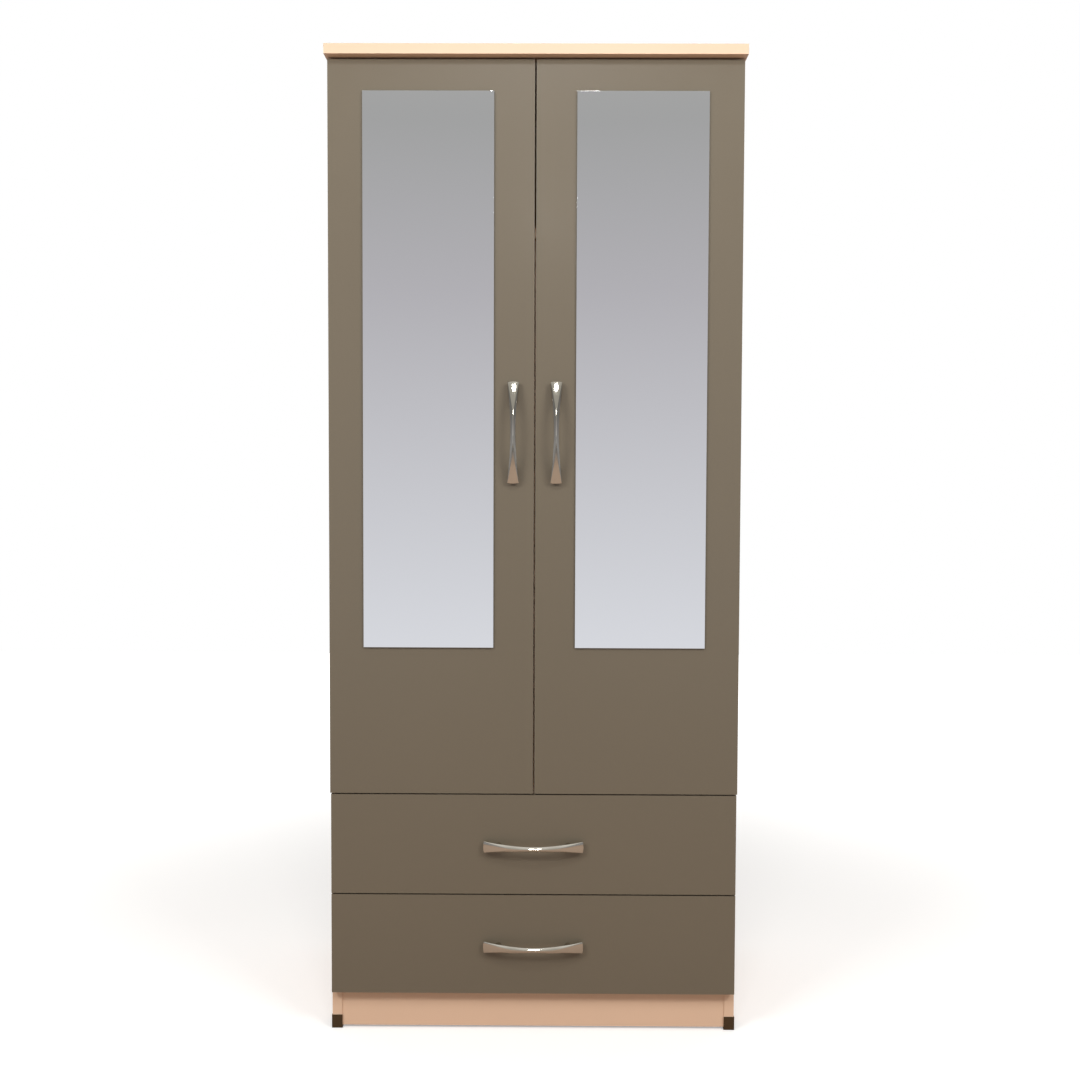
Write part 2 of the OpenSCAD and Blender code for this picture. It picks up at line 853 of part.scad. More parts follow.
module drawer_front(z) {
    x = half_w - front_edge_in;
    color(taupe) difference() {
        block([-x, face_y, front_z(z)], [x, door_back, front_z(z) + drawer_front_h]);
        bottom_sheet(z, groove_clear);
        for (s = SIDES) box_bolts(s, z);
        at_drawer_handle(z) handle_bores();
    }
}

module drawer_side(s, z) {
    x0 = s * box_inner_x;
    x1 = s * box_outer_x;
    color(cream) difference() {
        block([min(x0, x1), door_back, box_z(z)], [max(x0, x1), box_rear, box_z(z) + box_h]);
        bottom_sheet(z, groove_clear);
        box_bolts(s, z);
        box_cams(s, z, cam_clear);
        box_back_screws(s, z);
        slide_screws(s, z);
    }
}

module drawer_back(z) {
    color(cream) difference() {
        block([-box_inner_x, box_rear - box_t, box_z(z) + bottom_rise + thin_t + groove_clear],
            [box_inner_x, box_rear, box_z(z) + box_h - 10]);
        for (s = SIDES) box_back_screws(s, z);
    }
}

module drawer_bottom(z) {
    color(hardboard) bottom_sheet(z);
}

module drawer_fasteners(z) {
    color(zinc) {
        for (s = SIDES) {
            box_bolts(s, z);
            box_back_screws(s, z);
            slide_screws(s, z);
            difference() {
                box_cams(s, z);
                for (k = box_joint_zs) {
                    rod_y(s * (box_outer_x - box_t / 2), door_back, door_back + small_cam_inset + 3.5,
                        box_z(z) + k, small_bolt_r + bolt_clear);
                    translate([s * box_inner_x, door_back + small_cam_inset, box_z(z) + k])
                        rotate([0, 90, 0]) cam_slot(7, 1.5);
                }
            }
        }
        at_drawer_handle(z) handle_screws();
    }
}

// A bar of the runner's section from w0 to w1 and from z0 to z1
module runner_bar(s, w0, w1, y0, y1, z0, z1) {
    x0 = s * (inner_x - w0);
    x1 = s * (inner_x - w1);
    block([min(x0, x1), y0, z0], [max(x0, x1), y1, z1]);
}

module axle(s, w0, w1, y, z, r) {
    rod_x(s * (inner_x - w0), s * (inner_x - w1), y, z, r);
}

// Channel on the side panel, with the stub axle of its front roller
module cabinet_runners(z) {
    y0 = front_y + 2;
    y1 = box_rear;
    top_y0 = front_axle_y + roller_r + 3;
    color(epoxy) for (s = SIDES) {
        difference() {
            union() {
                runner_bar(s, 0, runner_t, y0, y1, z, z + channel_h);
                runner_bar(s, runner_t, runner_w, y0, y1, z, z + runner_t);
                runner_bar(s, runner_t, runner_w, top_y0, y1, z + channel_h - runner_t, z + channel_h);
                axle(s, runner_t, roller_ws[1] + 0.3, front_axle_y, z + front_axle_z, axle_r);
                axle(s, roller_ws[1] + 0.3, roller_ws[1] + 1.1, front_axle_y, z + front_axle_z, 2 * axle_r);
            }
            runner_screws(s, z);
        }
    }
}

// Angle on the drawer side, with the stub axle of its rear roller
module drawer_slides(z) {
    y0 = front_y + 3;
    y1 = box_rear - 3;
    color(epoxy) for (s = SIDES) {
        difference() {
            union() {
                runner_bar(s, slide_w, runner_gap, y0, y1, z + track_z, z + track_z + slide_up);
                runner_bar(s, 2, slide_w, y0, y1, z + track_z, z + track_z + runner_t);
                runner_bar(s, slide_w, runner_gap, rear_axle_y - 10, y1, z + 5, z + track_z);
                axle(s, roller_ws[0] - 0.3, slide_w, rear_axle_y, z + rear_axle_z, axle_r);
                axle(s, roller_ws[0] - 1, roller_ws[0] - 0.3, rear_axle_y, z + rear_axle_z, 2 * axle_r);
            }
            slide_screws(s, z);
        }
    }
}

module rollers(y, z) {
    color(nylon) for (s = SIDES) difference() {
        axle(s, roller_ws[0], roller_ws[1], y, z, roller_r);
        axle(s, 0, runner_gap, y, z, axle_r + run_clear);
    }
}

side_panel(LEFT);  // left_side_panel
side_panel(RIGHT);  // right_side_panel
top_panel();
level_panel(hat_z);  // hat_shelf
centre_partition();
level_panel(deck_z);  // deck_panel
level_panel(base_z);  // base_panel
plinth_board();
back_panel();
loose_shelf(3);  // upper_shelf
loose_shelf(2);  // middle_shelf
loose_shelf(1);  // lower_shelf
shelf_pins();
hanging_rail();
rail_sockets();
foot_caps(front_y, 1);  // front_foot_caps
foot_caps(back_face, -1);  // rear_foot_caps
cam_locks();
cam_bolts();
dowels();
back_nails();
plinth_blocks();
carcass_screws();
hinge_plates();
hinge_arms(LEFT);  // left_hinge_arms
hinge_arms(RIGHT);  // right_hinge_arms
cabinet_runners(upper_runner_z);  // upper_runners
cabinet_runners(lower_runner_z);  // lower_runners
hinge_links(LEFT);  // left_hinge_links
hinge_links(RIGHT);  // right_hinge_links
door_panel(LEFT);  // left_door_panel
mirror_glass(LEFT);  // left_mirror
at_door_handle(LEFT) bow_handle();  // left_door_handle
hinge_cups(LEFT);  // left_hinge_cups
door_screws(LEFT);  // left_door_screws
door_panel(RIGHT);  // right_door_panel
mirror_glass(RIGHT);  // right_mirror
at_door_handle(RIGHT) bow_handle();  // right_door_handle
hinge_cups(RIGHT);  // right_hinge_cups
door_screws(RIGHT);  // right_door_screws
drawer_front(upper_runner_z);  // upper_drawer_front
drawer_side(LEFT, upper_runner_z);  // upper_drawer_left_side
drawer_side(RIGHT, upper_runner_z);  // upper_drawer_right_side
drawer_back(upper_runner_z);  // upper_drawer_back
drawer_bottom(upper_runner_z);  // upper_drawer_bottom
at_drawer_handle(upper_runner_z) bow_handle();  // upper_drawer_handle
drawer_slides(upper_runner_z);  // upper_drawer_slides
drawer_fasteners(upper_runner_z);  // upper_drawer_fasteners
drawer_front(lower_runner_z);  // lower_drawer_front
drawer_side(LEFT, lower_runner_z);  // lower_drawer_left_side
drawer_side(RIGHT, lower_runner_z);  // lower_drawer_right_side
drawer_back(lower_runner_z);  // lower_drawer_back
drawer_bottom(lower_runner_z);  // lower_drawer_bottom
at_drawer_handle(lower_runner_z) bow_handle();  // lower_drawer_handle
drawer_slides(lower_runner_z);  // lower_drawer_slides
drawer_fasteners(lower_runner_z);  // lower_drawer_fasteners
rollers(front_axle_y, upper_runner_z + front_axle_z);  // upper_front_rollers
rollers(front_axle_y, lower_runner_z + front_axle_z);  // lower_front_rollers
rollers(rear_axle_y, upper_runner_z + rear_axle_z);  // upper_rear_rollers
rollers(rear_axle_y, lower_runner_z + rear_axle_z);  // lower_rear_rollers
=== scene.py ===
"""Looks of a two-door armoire with mirrors and two drawers: finishes, bow handles and studio."""

import json
import math

import bmesh
import bpy
from mathutils import Matrix, Vector


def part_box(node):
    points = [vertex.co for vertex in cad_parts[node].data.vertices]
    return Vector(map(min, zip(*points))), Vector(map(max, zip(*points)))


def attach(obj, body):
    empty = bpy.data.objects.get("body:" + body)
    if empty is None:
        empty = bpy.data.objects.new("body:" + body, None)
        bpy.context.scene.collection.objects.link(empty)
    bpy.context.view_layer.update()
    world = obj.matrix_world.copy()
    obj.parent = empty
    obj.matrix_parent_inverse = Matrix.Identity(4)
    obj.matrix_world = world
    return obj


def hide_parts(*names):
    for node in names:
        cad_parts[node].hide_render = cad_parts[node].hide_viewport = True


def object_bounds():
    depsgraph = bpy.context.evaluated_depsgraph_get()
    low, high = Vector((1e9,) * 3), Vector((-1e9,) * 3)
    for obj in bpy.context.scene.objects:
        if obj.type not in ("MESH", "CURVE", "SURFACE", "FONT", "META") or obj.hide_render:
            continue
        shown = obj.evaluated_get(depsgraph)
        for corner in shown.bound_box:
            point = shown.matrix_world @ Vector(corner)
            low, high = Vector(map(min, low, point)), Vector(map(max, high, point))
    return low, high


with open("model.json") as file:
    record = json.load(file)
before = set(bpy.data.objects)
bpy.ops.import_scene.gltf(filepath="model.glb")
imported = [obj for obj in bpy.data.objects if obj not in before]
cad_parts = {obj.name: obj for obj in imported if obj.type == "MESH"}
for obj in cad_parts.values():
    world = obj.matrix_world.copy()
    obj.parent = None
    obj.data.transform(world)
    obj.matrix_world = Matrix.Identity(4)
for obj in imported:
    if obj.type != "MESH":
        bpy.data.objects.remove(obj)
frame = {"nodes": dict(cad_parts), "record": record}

bl_info = {
    "name": "Mirrored Armoire",
    "version": (1, 0, 0),
    "blender": (4, 5, 0),
    "location": "3D View > Sidebar > Armoire",
    "description": "Finishes the boards, doors, mirrors, handles and fittings of an armoire",
    "category": "Object",
}

MM = 0.001
CAD_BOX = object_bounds()
NODES = frame["nodes"]
BODIES = frame["record"]["behaviour"]["bodies"]
BODY_OF = {name: body for body, names in BODIES.items() for name in names}

# ---------------------------------------------------------------- sizes read from the frame

DOOR_HANDLE_LOW, DOOR_HANDLE_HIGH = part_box("left_door_handle")
DOOR_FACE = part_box("left_door_panel")[0].y
BOW_LENGTH = DOOR_HANDLE_HIGH.z - DOOR_HANDLE_LOW.z
BOW_WIDTH = DOOR_HANDLE_HIGH.x - DOOR_HANDLE_LOW.x
BOW_RISE = DOOR_FACE - DOOR_HANDLE_LOW.y


def nodes_named(*parts):
    """CAD nodes whose name ends with one of these words, in a fixed order."""
    return [name for name in sorted(NODES) if name.endswith(parts)]


CREAM_BOARDS = nodes_named("side_panel", "top_panel", "partition", "deck_panel", "base_panel",
                           "plinth_board", "_shelf")
DRAWER_BOARDS = nodes_named("drawer_left_side", "drawer_right_side", "drawer_back")
GLOSS_FRONTS = nodes_named("door_panel", "drawer_front")
HINGE_PARTS = nodes_named("hinge_plates", "hinge_arms", "hinge_links", "hinge_cups")
FASTENERS = nodes_named("cam_locks", "cam_bolts", "back_nails", "screws", "fasteners", "shelf_pins")

# ---------------------------------------------------------------- sizes and colours to change


class ArmoireFinishes(bpy.types.PropertyGroup):
    """Colours of the finishes, as linear red, green and blue."""

    board: bpy.props.FloatVectorProperty(
        name="Boards", description="Cream melamine of the carcass", subtype="COLOR",
        min=0, max=1, default=(0.80, 0.56, 0.395))
    front: bpy.props.FloatVectorProperty(
        name="Fronts", description="Grey-brown gloss foil of the doors and drawer fronts",
        subtype="COLOR", min=0, max=1, default=(0.158, 0.131, 0.092))
    drawer_board: bpy.props.FloatVectorProperty(
        name="Drawer boxes", description="Foil of the drawer sides and backs", subtype="COLOR",
        min=0, max=1, default=(0.72, 0.62, 0.51))
    raw_back: bpy.props.FloatVectorProperty(
        name="Raw hardboard", description="Bare rear face of the hardboard", subtype="COLOR",
        min=0, max=1, default=(0.30, 0.17, 0.085))
    glass_edge: bpy.props.FloatVectorProperty(
        name="Glass edge", description="Ground edge of the mirrors", subtype="COLOR",
        min=0, max=1, default=(0.16, 0.20, 0.17))
    silver: bpy.props.FloatVectorProperty(
        name="Silvering", description="Reflecting face of the mirrors", subtype="COLOR",
        min=0, max=1, default=(0.96, 0.965, 0.97))
    chrome: bpy.props.FloatVectorProperty(
        name="Chrome", description="Polished plate of the handles and rail", subtype="COLOR",
        min=0, max=1, default=(0.60, 0.57, 0.50))
    zinc: bpy.props.FloatVectorProperty(
        name="Zinc", description="Bright plate of the hinges, screws and nails", subtype="COLOR",
        min=0, max=1, default=(0.60, 0.61, 0.63))
    epoxy: bpy.props.FloatVectorProperty(
        name="Runners", description="Powder coat of the drawer runners", subtype="COLOR",
        min=0, max=1, default=(0.70, 0.68, 0.61))
    nylon: bpy.props.FloatVectorProperty(
        name="Nylon", description="Rollers and corner blocks", subtype="COLOR",
        min=0, max=1, default=(0.66, 0.65, 0.60))
    foot: bpy.props.FloatVectorProperty(
        name="Foot caps", description="Dark brown moulded plastic", subtype="COLOR",
        min=0, max=1, default=(0.056, 0.030, 0.010))
    beech: bpy.props.FloatVectorProperty(
        name="Dowels", description="Bare beech", subtype="COLOR",
        min=0, max=1, default=(0.56, 0.36, 0.19))


class ArmoireEdges(bpy.types.PropertyGroup):
    """How far each kind of piece is rounded along its edges."""

    board: bpy.props.FloatProperty(
        name="Boards", description="Rounding of an edge-stripped board", unit="LENGTH",
        min=0, max=0.003, default=0.8 * MM)
    front: bpy.props.FloatProperty(
        name="Fronts", description="Rounding of the doors and drawer fronts", unit="LENGTH",
        min=0, max=0.004, default=1.2 * MM)
    glass: bpy.props.FloatProperty(
        name="Mirrors", description="Ground arris of the mirrors", unit="LENGTH",
        min=0, max=0.002, default=0.35 * MM)
    plastic: bpy.props.FloatProperty(
        name="Foot caps", description="Rounding of the moulded foot caps", unit="LENGTH",
        min=0, max=0.002, default=0.5 * MM)
    metal: bpy.props.FloatProperty(
        name="Fittings", description="Broken edge of the pressed and turned metal", unit="LENGTH",
        min=0, max=0.001, default=0.15 * MM)


class ArmoireHandle(bpy.types.PropertyGroup):
    """Shape of one bow handle. Its length, width and rise come from the frame."""

    waist: bpy.props.FloatProperty(
        name="Waist", description="Width of the bow at its middle", unit="LENGTH",
        min=0.005, max=0.02, default=9 * MM)
    end_rise: bpy.props.FloatProperty(
        name="End rise", description="How far the bow's face stands off the door at its ends",
        unit="LENGTH", min=0.008, max=0.02, default=11 * MM)
    thickness: bpy.props.FloatProperty(
        name="Thickness", description="Metal from the bow's face to its back", unit="LENGTH",
        min=0.003, max=0.008, default=5 * MM)
    ridge: bpy.props.FloatProperty(
        name="Ridge", description="Width of the face where it is narrowest", unit="LENGTH",
        min=0.0005, max=0.005, default=2.2 * MM)
    crown: bpy.props.FloatProperty(
        name="Crown", description="How far a full-width face falls away at its two edges",
        unit="LENGTH", min=0, max=0.001, default=0.35 * MM)
    flare: bpy.props.FloatProperty(
        name="Flare", description="Length of each end over which the face widens", unit="LENGTH",
        min=0.02, max=0.09, default=54 * MM)
    facet_drop: bpy.props.FloatProperty(
        name="Facet drop", description="How far the side facets fall back at the waist",
        unit="LENGTH", min=0.001, max=0.004, default=3.0 * MM)
    end_bulge: bpy.props.FloatProperty(
        name="End bulge", description="How far each end curves outwards at its middle",
        unit="LENGTH", min=0, max=0.003, default=1.2 * MM)
    post_spacing: bpy.props.FloatProperty(
        name="Post spacing", description="Distance between the two posts", unit="LENGTH",
        min=0.064, max=0.16, default=128 * MM)
    post_diameter: bpy.props.FloatProperty(
        name="Post", description="Diameter of a post", unit="LENGTH",
        min=0.006, max=0.014, default=12 * MM)
    bore_diameter: bpy.props.FloatProperty(
        name="Screw bore", description="Hole for the handle screw in each post", unit="LENGTH",
        min=0.003, max=0.006, default=4.2 * MM)


class ArmoireStudio(bpy.types.PropertyGroup):
    """Camera and lamps."""

    camera_place: bpy.props.FloatVectorProperty(
        name="Camera", description="Where the camera stands", subtype="TRANSLATION",
        unit="LENGTH", default=(0.0242, -2.600, 1.0302))
    turn: bpy.props.FloatProperty(
        name="Turn", description="Camera's turn to the right", subtype="ANGLE",
        default=math.radians(-0.337))
    dip: bpy.props.FloatProperty(
        name="Dip", description="Camera's tilt below the horizon", subtype="ANGLE",
        default=math.radians(2.737))
    roll: bpy.props.FloatProperty(
        name="Roll", description="Camera's roll", subtype="ANGLE", default=math.radians(0.202))
    lens: bpy.props.FloatProperty(
        name="Lens", description="Focal length on a 36 mm sensor", subtype="DISTANCE_CAMERA",
        unit="CAMERA", default=43.58)
    key_power: bpy.props.FloatProperty(
        name="Key lamps", description="Power of each soft lamp beside the camera", unit="POWER",
        min=0, default=33)
    top_power: bpy.props.FloatProperty(
        name="Top lamp", description="Power of the soft lamp above the front", unit="POWER",
        min=0, default=11)
    catch_power: bpy.props.FloatProperty(
        name="Catch lamp", description="Power of the small lamp that sparkles in the handles",
        unit="POWER", min=0, default=0.8)
    floor_bounce: bpy.props.FloatVectorProperty(
        name="Floor bounce", description="Colour that the floor throws back at the object",
        subtype="COLOR", min=0, max=1, default=(0.50, 0.38, 0.31))
    room_strength: bpy.props.FloatProperty(
        name="Room light", description="Strength of the light from all round", min=0, default=1.0)


# ---------------------------------------------------------------- node tree helpers


class Wiring:
    """Adds nodes to one tree and joins them."""

    def __init__(self, tree):
        self.tree = tree

    def add(self, kind, inputs=None, **settings):
        """A new node; inputs maps a socket's name or number to a value or to another socket."""
        made = self.tree.nodes.new(kind)
        for name, value in settings.items():
            setattr(made, name, value)
        for socket, value in (inputs or {}).items():
            if isinstance(value, bpy.types.NodeSocket):
                self.tree.links.new(value, made.inputs[socket])
            else:
                made.inputs[socket].default_value = value
        return made

    def math(self, operation, first, second=0.0, clamp=False):
        """Output of a Math node."""
        node = self.add("ShaderNodeMath", {0: first, 1: second}, operation=operation, use_clamp=clamp)
        return node.outputs[0]

    def ramp(self, value, low, high, out_low=0.0, out_high=1.0):
        """value from low..high brought smoothly to out_low..out_high."""
        sockets = {"Value": value, "From Min": low, "From Max": high,
                   "To Min": out_low, "To Max": out_high}
        return self.add("ShaderNodeMapRange", sockets, interpolation_type="SMOOTHSTEP").outputs[0]

    def mix(self, factor, first, second):
        """Colour between first and second."""
        node = self.add("ShaderNodeMix", {0: factor}, data_type="RGBA")
        for socket, value in ((node.inputs[6], first), (node.inputs[7], second)):
            if isinstance(value, bpy.types.NodeSocket):
                self.tree.links.new(value, socket)
            else:
                socket.default_value = value
        return node.outputs[2]

    def noise(self, size, detail=2.0, vector=None):
        """Cloud-like value from 0 to 1 whose lumps are about size metres across."""
        if vector is None:
            vector = self.add("ShaderNodeTexCoord").outputs["Object"]
        sockets = {"Vector": vector, "Detail": detail}
        node = self.add("ShaderNodeTexNoise", sockets)
        if isinstance(size, bpy.types.NodeSocket):
            self.tree.links.new(self.math("DIVIDE", 1.0, size), node.inputs["Scale"])
        else:
            node.inputs["Scale"].default_value = 1.0 / size
        return node.outputs[0]


def rgba(colour):
    """A colour property as four numbers."""
    return (*colour, 1.0)


def effect_group(name, inputs, outputs):
    """A new shader node group with the named sockets, its wiring, and its two end nodes."""
    tree = bpy.data.node_groups.new(name, "ShaderNodeTree")
    kinds = {"float": "NodeSocketFloat", "colour": "NodeSocketColor", "vector": "NodeSocketVector"}
    for socket, kind in inputs:
        tree.interface.new_socket(socket, in_out="INPUT", socket_type=kinds[kind])
    for socket, kind in outputs:
        tree.interface.new_socket(socket, in_out="OUTPUT", socket_type=kinds[kind])
    wiring = Wiring(tree)
    return tree, wiring, wiring.add("NodeGroupInput").outputs, wiring.add("NodeGroupOutput").inputs


def once(build):
    """Builds a node group the first time it is asked for, and gives the same one after that."""
    def ask():
        if build.__name__ not in bpy.data.node_groups:
            build(build.__name__)
        return bpy.data.node_groups[build.__name__]
    return ask


# ---------------------------------------------------------------- effects shared by the finishes


@once
def tone_drift(name):
    """Slow lightening and darkening of a colour over the surface."""
    tree, w, given, out = effect_group(
        name, [("Colour", "colour"), ("Size", "float"), ("Amount", "float")], [("Colour", "colour")])
    swing = w.math("MULTIPLY", w.math("SUBTRACT", w.noise(given["Size"], 3.0), 0.5), given["Amount"])
    scaled = w.add("ShaderNodeVectorMath", {0: given["Colour"]}, operation="SCALE")
    tree.links.new(w.math("ADD", swing, 1.0), scaled.inputs["Scale"])
    tree.links.new(scaled.outputs[0], out["Colour"])


@once
def fine_relief(name):
    """Height of a fine surface texture, such as orange peel or a moulding's grain."""
    tree, w, given, out = effect_group(name, [("Size", "float"), ("Depth", "float")],
                                       [("Height", "float")])
    tree.links.new(w.math("MULTIPLY", w.noise(given["Size"], 2.0), given["Depth"]), out["Height"])


@once
def strip_joint(name):
    """Thin line where a board's front edge strip meets its face."""
    tree, w, given, out = effect_group(
        name, [("Front", "float"), ("Strip", "float"), ("Line", "float")], [("Mask", "float")])
    place = w.add("ShaderNodeSeparateXYZ", {0: w.add("ShaderNodeTexCoord").outputs["Object"]})
    behind = w.math("SUBTRACT", place.outputs["Y"], given["Front"])
    off = w.math("ABSOLUTE", w.math("SUBTRACT", behind, given["Strip"]))
    inside = w.math("SUBTRACT", 1.0, w.math("DIVIDE", off, given["Line"]), clamp=True)
    tree.links.new(inside, out["Mask"])


@once
def settled_dust(name):
    """Where dust lies on faces that look up."""
    tree, w, given, out = effect_group(name, [("Amount", "float")], [("Mask", "float")])
    normal = w.add("ShaderNodeSeparateXYZ", {0: w.add("ShaderNodeNewGeometry").outputs["Normal"]})
    level = w.ramp(normal.outputs["Z"], 0.75, 0.98)
    patches = w.ramp(w.noise(0.035, 5.0), 0.35, 0.75)
    tree.links.new(w.math("MULTIPLY", w.math("MULTIPLY", level, patches), given["Amount"]), out["Mask"])


@once
def edge_rub(name):
    """Where handling has rubbed the edges of a piece."""
    tree, w, given, out = effect_group(name, [("Reach", "float"), ("Amount", "float")],
                                       [("Mask", "float")])
    rounded = w.add("ShaderNodeBevel", {"Radius": given["Reach"]}, samples=4).outputs[0]
    true = w.add("ShaderNodeNewGeometry").outputs["Normal"]
    facing = w.add("ShaderNodeVectorMath", {0: rounded, 1: true}, operation="DOT_PRODUCT")
    turned = w.ramp(facing.outputs["Value"], 0.995, 0.85)
    patchy = w.math("MULTIPLY", turned, w.ramp(w.noise(0.006, 4.0), 0.3, 0.7))
    tree.links.new(w.math("MULTIPLY", patchy, given["Amount"]), out["Mask"])


@once
def hairline_scuffs(name):
    """Fine marks drawn out along one direction; Stretch is the noise's scale along each axis."""
    tree, w, given, out = effect_group(name, [("Stretch", "vector"), ("Amount", "float")],
                                       [("Mask", "float")])
    place = w.add("ShaderNodeTexCoord").outputs["Object"]
    drawn = w.add("ShaderNodeVectorMath", {0: place, 1: given["Stretch"]}, operation="MULTIPLY")
    marks = w.ramp(w.noise(1.0, 4.0, drawn.outputs[0]), 0.48, 0.74)
    tree.links.new(w.math("MULTIPLY", marks, given["Amount"]), out["Mask"])


@once
def board_side(name):
    """One where a face looks to the rear, so that the two faces of a board can differ."""
    tree, w, given, out = effect_group(name, [], [("Rear", "float"), ("Front", "float")])
    normal = w.add("ShaderNodeSeparateXYZ", {0: w.add("ShaderNodeTexCoord").outputs["Normal"]})
    tree.links.new(w.ramp(normal.outputs["Y"], 0.90, 0.96), out["Rear"])
    tree.links.new(w.ramp(normal.outputs["Y"], -0.90, -0.96), out["Front"])


# ---------------------------------------------------------------- finishes

# Marks of making, wear and dust, as linear red, green and blue.
STRIP_GLUE_LINE = (0.33, 0.22, 0.14)
BOARD_DUST = (0.55, 0.51, 0.46)
FOIL_DUST = (0.52, 0.48, 0.43)
PLASTIC_DUST = (0.45, 0.42, 0.38)
RUBBED_GLOSS = (0.42, 0.36, 0.29)
ZINC_FILM = (0.60, 0.57, 0.47)
RUBBED_ZINC = (0.80, 0.80, 0.79)
ROLLER_TRACK = (0.52, 0.50, 0.45)
RUBBED_EPOXY = (0.42, 0.42, 0.41)
HARDBOARD_FLECK = (0.10, 0.055, 0.03)
FOIL_GRAIN = (0.48, 0.38, 0.28)
BEECH_FLECK = (0.30, 0.15, 0.06)


class Finish:
    """A material under construction: its wiring and its Principled shader."""

    def __init__(self, name, **constants):
        self.material = bpy.data.materials.new(name)
        self.material.use_nodes = True
        self.w = Wiring(self.material.node_tree)
        self.shader = self.material.node_tree.nodes["Principled BSDF"]
        for socket, value in constants.items():
            self.shader.inputs[socket.replace("_", " ")].default_value = value

    def effect(self, group, **inputs):
        """Places a shared effect with this material's own values."""
        node = self.w.add("ShaderNodeGroup", node_tree=group())
        for socket, value in inputs.items():
            if isinstance(value, bpy.types.NodeSocket):
                self.w.tree.links.new(value, node.inputs[socket])
            else:
                node.inputs[socket].default_value = value
        return node.outputs

    def feed(self, **sources):
        """Joins sockets of the shader to what drives them."""
        for socket, source in sources.items():
            self.w.tree.links.new(source, self.shader.inputs[socket.replace("_", " ")])

    def relief(self, size, depth):
        """Fine texture of the surface, as a bump of that depth in metres."""
        height = self.effect(fine_relief, Size=size, Depth=1.0)["Height"]
        bump = self.w.add("ShaderNodeBump", {"Height": height, "Distance": depth, "Strength": 1.0})
        self.w.tree.links.new(bump.outputs[0], self.shader.inputs["Normal"])

    def roughness(self, smooth, rough, size):
        """Roughness that wanders between two values."""
        self.feed(Roughness=self.w.ramp(self.w.noise(size, 4.0), 0.3, 0.7, smooth, rough))


def cream_board(name, colour, front):
    """Melamine-faced board with a thin joint behind its front edge strip."""
    finish = Finish("cream_board." + name, Roughness=0.42)
    face = finish.effect(tone_drift, Colour=rgba(colour), Size=0.15, Amount=0.05)["Colour"]
    speckled = finish.effect(tone_drift, Colour=face, Size=0.0012, Amount=0.07)["Colour"]
    joint = finish.effect(strip_joint, Front=front, Strip=1.2 * MM, Line=0.35 * MM)["Mask"]
    dust = finish.effect(settled_dust, Amount=0.10)["Mask"]
    lined = finish.w.mix(finish.w.math("MULTIPLY", joint, 0.5), speckled, rgba(STRIP_GLUE_LINE))
    finish.feed(Base_Color=finish.w.mix(dust, lined, rgba(BOARD_DUST)))
    finish.roughness(0.36, 0.47, 0.02)
    finish.relief(1.1 * MM, 0.012 * MM)
    return finish.material


def gloss_front(name, colour, lining):
    """Grey-brown gloss foil on the face and edges, cream backing on the rear face."""
    finish = Finish("taupe_gloss." + name, Coat_Weight=0.1, Coat_Roughness=0.2)
    drift = finish.effect(tone_drift, Colour=rgba(colour), Size=0.30, Amount=0.05)["Colour"]
    pearl = finish.effect(tone_drift, Colour=drift, Size=0.0016, Amount=0.06)["Colour"]
    back = finish.effect(tone_drift, Colour=rgba(lining), Size=0.12, Amount=0.05)["Colour"]
    rear = finish.effect(board_side)["Rear"]
    rub = finish.effect(edge_rub, Reach=0.9 * MM, Amount=0.22)["Mask"]
    worn = finish.w.mix(rub, pearl, rgba(RUBBED_GLOSS))
    finish.feed(Base_Color=finish.w.mix(rear, worn, back))
    wander = finish.w.ramp(finish.w.noise(0.05, 4.0), 0.3, 0.7, 0.34, 0.40)
    finish.feed(Roughness=finish.w.math("MAXIMUM", wander, finish.w.math("MULTIPLY", rear, 0.45)))
    finish.relief(6 * MM, 0.006 * MM)
    return finish.material


def mirror_glass(silver, edge):
    """Silvered face, with ground green-grey edges and a back of the same green-grey."""
    finish = Finish("mirror_glass", Roughness=0.02)
    front = finish.effect(board_side)["Front"]
    finish.feed(Base_Color=finish.w.mix(front, rgba(edge), rgba(silver)), Metallic=front)
    smear = finish.w.ramp(finish.w.noise(0.09, 4.0), 0.45, 0.8, 0.010, 0.030)
    ground = finish.w.math("MULTIPLY", finish.w.math("SUBTRACT", 1.0, front), 0.22)
    finish.feed(Roughness=finish.w.math("ADD", smear, ground))
    return finish.material


def polished_chrome(colour):
    """Mirror-bright plate with faint finger marks."""
    finish = Finish("chrome", Metallic=1.0)
    marks = finish.effect(hairline_scuffs, Stretch=(900, 900, 120), Amount=0.05)["Mask"]
    base = finish.w.ramp(finish.w.noise(0.012, 4.0), 0.4, 0.8, 0.045, 0.10)
    finish.feed(Roughness=finish.w.math("ADD", base, marks))
    finish.feed(Base_Color=finish.effect(tone_drift, Colour=rgba(colour), Size=0.03,
                                         Amount=0.03)["Colour"])
    return finish.material


def zinc_plate(colour):
    """Bright zinc with a cloudy, slightly coloured film and rubbed edges."""
    finish = Finish("zinc_steel", Metallic=1.0)
    clouds = finish.w.ramp(finish.w.noise(4 * MM, 5.0), 0.35, 0.7)
    film = finish.w.mix(clouds, rgba(colour), rgba(ZINC_FILM))
    rub = finish.effect(edge_rub, Reach=0.4 * MM, Amount=0.6)["Mask"]
    finish.feed(Base_Color=finish.w.mix(rub, film, rgba(RUBBED_ZINC)))
    marks = finish.effect(hairline_scuffs, Stretch=(1500, 160, 1500), Amount=0.12)["Mask"]
    finish.feed(Roughness=finish.w.math("ADD", marks, 0.24))
    return finish.material


